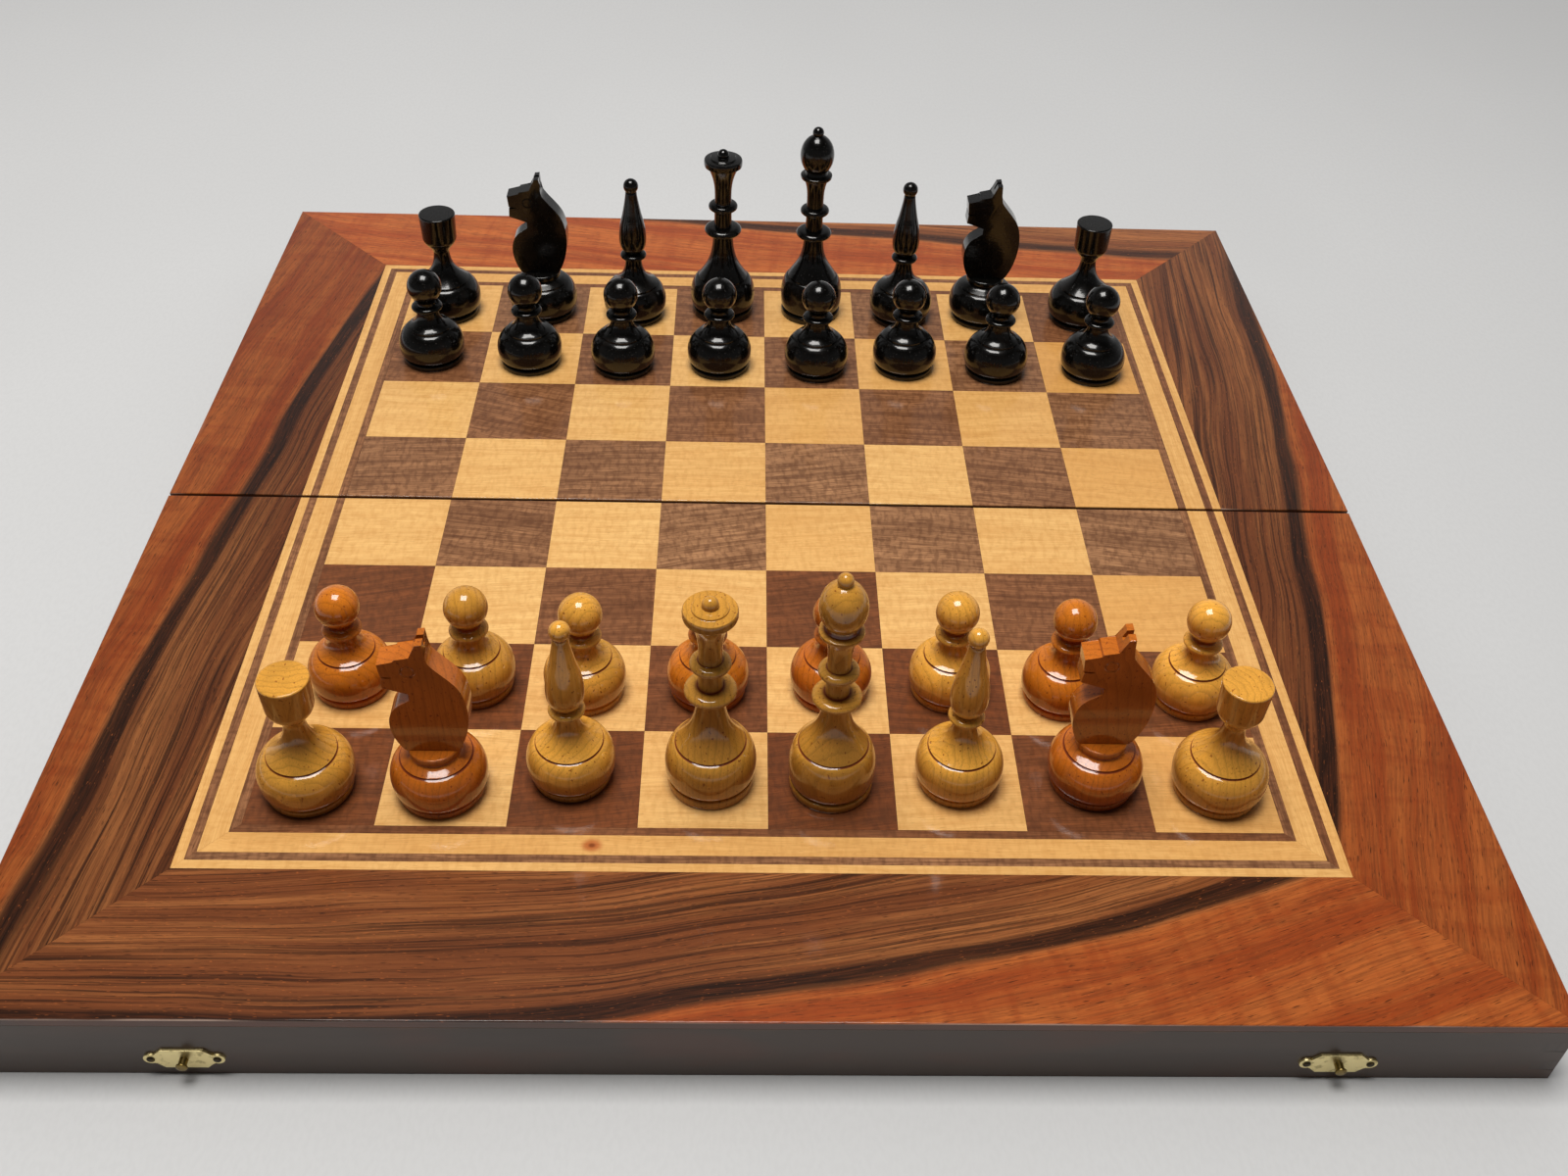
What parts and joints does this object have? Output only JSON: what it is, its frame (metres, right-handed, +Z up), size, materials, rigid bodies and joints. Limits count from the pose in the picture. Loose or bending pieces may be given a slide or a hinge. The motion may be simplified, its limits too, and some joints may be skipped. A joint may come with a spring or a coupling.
{
  "type": "chess set with folding board",
  "caption": "Folding wooden chess board that is its own box, veneered squares and border, brass hinges and hooks, with turned men set out in the starting position.",
  "frame": {"origin": "on the table under the middle of the fold", "axes": "+X towards the h-file, +Y from White to Black, +Z up"},
  "size_m": [0.51, 0.5182, 0.13],
  "materials": {
    "dark_stained_beech": "dark stained, satin lacquer, worn light on the arrises",
    "birch_plywood": "bare birch plywood",
    "rosewood_veneer": "figured reddish brown veneer with near-black streaks, gloss lacquer",
    "maple_veneer": "golden light veneer, fine straight grain, gloss lacquer",
    "walnut_veneer": "dark brown veneer, open straight grain, gloss lacquer",
    "brass_fittings": "thin pressed brass, dulled",
    "steel_fixings": "plain wire and screws",
    "light_lacquered_beech": "turned beech under yellowed gloss lacquer",
    "black_lacquered_beech": "turned beech, black gloss lacquer"
  },
  "bodies": {
    "front_half": {"front_outer_rail": "dark_stained_beech", "front_left_rail": "dark_stained_beech", "front_right_rail": "dark_stained_beech", "front_hinge_rail": "dark_stained_beech", "front_panel": "birch_plywood", "front_border_veneer": "rosewood_veneer", "front_light_veneer": "maple_veneer", "front_dark_veneer": "walnut_veneer", "front_hinge_leaves": "brass_fittings", "hinge_pins": "steel_fixings", "front_hinge_screws": "steel_fixings", "stud_plates": "brass_fittings", "latch_studs": "brass_fittings", "stud_plate_nails": "brass_fittings"},
    "rear_half": {"rear_outer_rail": "dark_stained_beech", "rear_left_rail": "dark_stained_beech", "rear_right_rail": "dark_stained_beech", "rear_hinge_rail": "dark_stained_beech", "rear_panel": "birch_plywood", "rear_border_veneer": "rosewood_veneer", "rear_light_veneer": "maple_veneer", "rear_dark_veneer": "walnut_veneer", "rear_hinge_leaves": "brass_fittings", "rear_hinge_screws": "steel_fixings", "hook_plates": "brass_fittings", "hook_plate_nails": "brass_fittings"},
    "left_hook": {"left_hook": "brass_fittings"},
    "right_hook": {"right_hook": "brass_fittings"},
    "white_rook_a": {"white_rook_a": "light_lacquered_beech"},
    "white_knight_b": {"white_knight_b": "light_lacquered_beech"},
    "white_bishop_c": {"white_bishop_c": "light_lacquered_beech"},
    "white_queen_d": {"white_queen_d": "light_lacquered_beech"},
    "white_king_e": {"white_king_e": "light_lacquered_beech"},
    "white_bishop_f": {"white_bishop_f": "light_lacquered_beech"},
    "white_knight_g": {"white_knight_g": "light_lacquered_beech"},
    "white_rook_h": {"white_rook_h": "light_lacquered_beech"},
    "white_pawn_a": {"white_pawn_a": "light_lacquered_beech"},
    "white_pawn_b": {"white_pawn_b": "light_lacquered_beech"},
    "white_pawn_c": {"white_pawn_c": "light_lacquered_beech"},
    "white_pawn_d": {"white_pawn_d": "light_lacquered_beech"},
    "white_pawn_e": {"white_pawn_e": "light_lacquered_beech"},
    "white_pawn_f": {"white_pawn_f": "light_lacquered_beech"},
    "white_pawn_g": {"white_pawn_g": "light_lacquered_beech"},
    "white_pawn_h": {"white_pawn_h": "light_lacquered_beech"},
    "black_rook_a": {"black_rook_a": "black_lacquered_beech"},
    "black_knight_b": {"black_knight_b": "black_lacquered_beech"},
    "black_bishop_c": {"black_bishop_c": "black_lacquered_beech"},
    "black_queen_d": {"black_queen_d": "black_lacquered_beech"},
    "black_king_e": {"black_king_e": "black_lacquered_beech"},
    "black_bishop_f": {"black_bishop_f": "black_lacquered_beech"},
    "black_knight_g": {"black_knight_g": "black_lacquered_beech"},
    "black_rook_h": {"black_rook_h": "black_lacquered_beech"},
    "black_pawn_a": {"black_pawn_a": "black_lacquered_beech"},
    "black_pawn_b": {"black_pawn_b": "black_lacquered_beech"},
    "black_pawn_c": {"black_pawn_c": "black_lacquered_beech"},
    "black_pawn_d": {"black_pawn_d": "black_lacquered_beech"},
    "black_pawn_e": {"black_pawn_e": "black_lacquered_beech"},
    "black_pawn_f": {"black_pawn_f": "black_lacquered_beech"},
    "black_pawn_g": {"black_pawn_g": "black_lacquered_beech"},
    "black_pawn_h": {"black_pawn_h": "black_lacquered_beech"}
  },
  "joints": [
    {"name": "fold", "type": "hinge", "parent": "front_half", "child": "rear_half", "pos_m": [0, 0, 0.0016], "axis": [-1, 0, 0], "range_deg": [-0.81, 179.19]},
    {"name": "left_hook_turn", "type": "hinge", "parent": "rear_half", "child": "left_hook", "pos_m": [-0.183, 0.25726, 0.00948], "axis": [0, 1, -0.0071], "range_deg": [0, 90]},
    {"name": "right_hook_turn", "type": "hinge", "parent": "rear_half", "child": "right_hook", "pos_m": [0.183, 0.25726, 0.00948], "axis": [0, -1, 0.0071], "range_deg": [0, 90]},
    {"name": "white_rook_a_lift", "type": "slide", "parent": "front_half", "child": "white_rook_a", "axis": [0, -0.0071, 1], "range_m": [0, 0.12]},
    {"name": "white_knight_b_lift", "type": "slide", "parent": "front_half", "child": "white_knight_b", "axis": [0, -0.0071, 1], "range_m": [0, 0.12]},
    {"name": "white_bishop_c_lift", "type": "slide", "parent": "front_half", "child": "white_bishop_c", "axis": [0, -0.0071, 1], "range_m": [0, 0.12]},
    {"name": "white_queen_d_lift", "type": "slide", "parent": "front_half", "child": "white_queen_d", "axis": [0, -0.0071, 1], "range_m": [0, 0.12]},
    {"name": "white_king_e_lift", "type": "slide", "parent": "front_half", "child": "white_king_e", "axis": [0, -0.0071, 1], "range_m": [0, 0.12]},
    {"name": "white_bishop_f_lift", "type": "slide", "parent": "front_half", "child": "white_bishop_f", "axis": [0, -0.0071, 1], "range_m": [0, 0.12]},
    {"name": "white_knight_g_lift", "type": "slide", "parent": "front_half", "child": "white_knight_g", "axis": [0, -0.0071, 1], "range_m": [0, 0.12]},
    {"name": "white_rook_h_lift", "type": "slide", "parent": "front_half", "child": "white_rook_h", "axis": [0, -0.0071, 1], "range_m": [0, 0.12]},
    {"name": "white_pawn_a_lift", "type": "slide", "parent": "front_half", "child": "white_pawn_a", "axis": [0, -0.0071, 1], "range_m": [0, 0.12]},
    {"name": "white_pawn_b_lift", "type": "slide", "parent": "front_half", "child": "white_pawn_b", "axis": [0, -0.0071, 1], "range_m": [0, 0.12]},
    {"name": "white_pawn_c_lift", "type": "slide", "parent": "front_half", "child": "white_pawn_c", "axis": [0, -0.0071, 1], "range_m": [0, 0.12]},
    {"name": "white_pawn_d_lift", "type": "slide", "parent": "front_half", "child": "white_pawn_d", "axis": [0, -0.0071, 1], "range_m": [0, 0.12]},
    {"name": "white_pawn_e_lift", "type": "slide", "parent": "front_half", "child": "white_pawn_e", "axis": [0, -0.0071, 1], "range_m": [0, 0.12]},
    {"name": "white_pawn_f_lift", "type": "slide", "parent": "front_half", "child": "white_pawn_f", "axis": [0, -0.0071, 1], "range_m": [0, 0.12]},
    {"name": "white_pawn_g_lift", "type": "slide", "parent": "front_half", "child": "white_pawn_g", "axis": [0, -0.0071, 1], "range_m": [0, 0.12]},
    {"name": "white_pawn_h_lift", "type": "slide", "parent": "front_half", "child": "white_pawn_h", "axis": [0, -0.0071, 1], "range_m": [0, 0.12]},
    {"name": "black_rook_a_lift", "type": "slide", "parent": "rear_half", "child": "black_rook_a", "axis": [0, 0.0071, 1], "range_m": [0, 0.12]},
    {"name": "black_knight_b_lift", "type": "slide", "parent": "rear_half", "child": "black_knight_b", "axis": [0, 0.0071, 1], "range_m": [0, 0.12]},
    {"name": "black_bishop_c_lift", "type": "slide", "parent": "rear_half", "child": "black_bishop_c", "axis": [0, 0.0071, 1], "range_m": [0, 0.12]},
    {"name": "black_queen_d_lift", "type": "slide", "parent": "rear_half", "child": "black_queen_d", "axis": [0, 0.0071, 1], "range_m": [0, 0.12]},
    {"name": "black_king_e_lift", "type": "slide", "parent": "rear_half", "child": "black_king_e", "axis": [0, 0.0071, 1], "range_m": [0, 0.12]},
    {"name": "black_bishop_f_lift", "type": "slide", "parent": "rear_half", "child": "black_bishop_f", "axis": [0, 0.0071, 1], "range_m": [0, 0.12]},
    {"name": "black_knight_g_lift", "type": "slide", "parent": "rear_half", "child": "black_knight_g", "axis": [0, 0.0071, 1], "range_m": [0, 0.12]},
    {"name": "black_rook_h_lift", "type": "slide", "parent": "rear_half", "child": "black_rook_h", "axis": [0, 0.0071, 1], "range_m": [0, 0.12]},
    {"name": "black_pawn_a_lift", "type": "slide", "parent": "rear_half", "child": "black_pawn_a", "axis": [0, 0.0071, 1], "range_m": [0, 0.12]},
    {"name": "black_pawn_b_lift", "type": "slide", "parent": "rear_half", "child": "black_pawn_b", "axis": [0, 0.0071, 1], "range_m": [0, 0.12]},
    {"name": "black_pawn_c_lift", "type": "slide", "parent": "rear_half", "child": "black_pawn_c", "axis": [0, 0.0071, 1], "range_m": [0, 0.12]},
    {"name": "black_pawn_d_lift", "type": "slide", "parent": "rear_half", "child": "black_pawn_d", "axis": [0, 0.0071, 1], "range_m": [0, 0.12]},
    {"name": "black_pawn_e_lift", "type": "slide", "parent": "rear_half", "child": "black_pawn_e", "axis": [0, 0.0071, 1], "range_m": [0, 0.12]},
    {"name": "black_pawn_f_lift", "type": "slide", "parent": "rear_half", "child": "black_pawn_f", "axis": [0, 0.0071, 1], "range_m": [0, 0.12]},
    {"name": "black_pawn_g_lift", "type": "slide", "parent": "rear_half", "child": "black_pawn_g", "axis": [0, 0.0071, 1], "range_m": [0, 0.12]},
    {"name": "black_pawn_h_lift", "type": "slide", "parent": "rear_half", "child": "black_pawn_h", "axis": [0, 0.0071, 1], "range_m": [0, 0.12]}
  ]
}
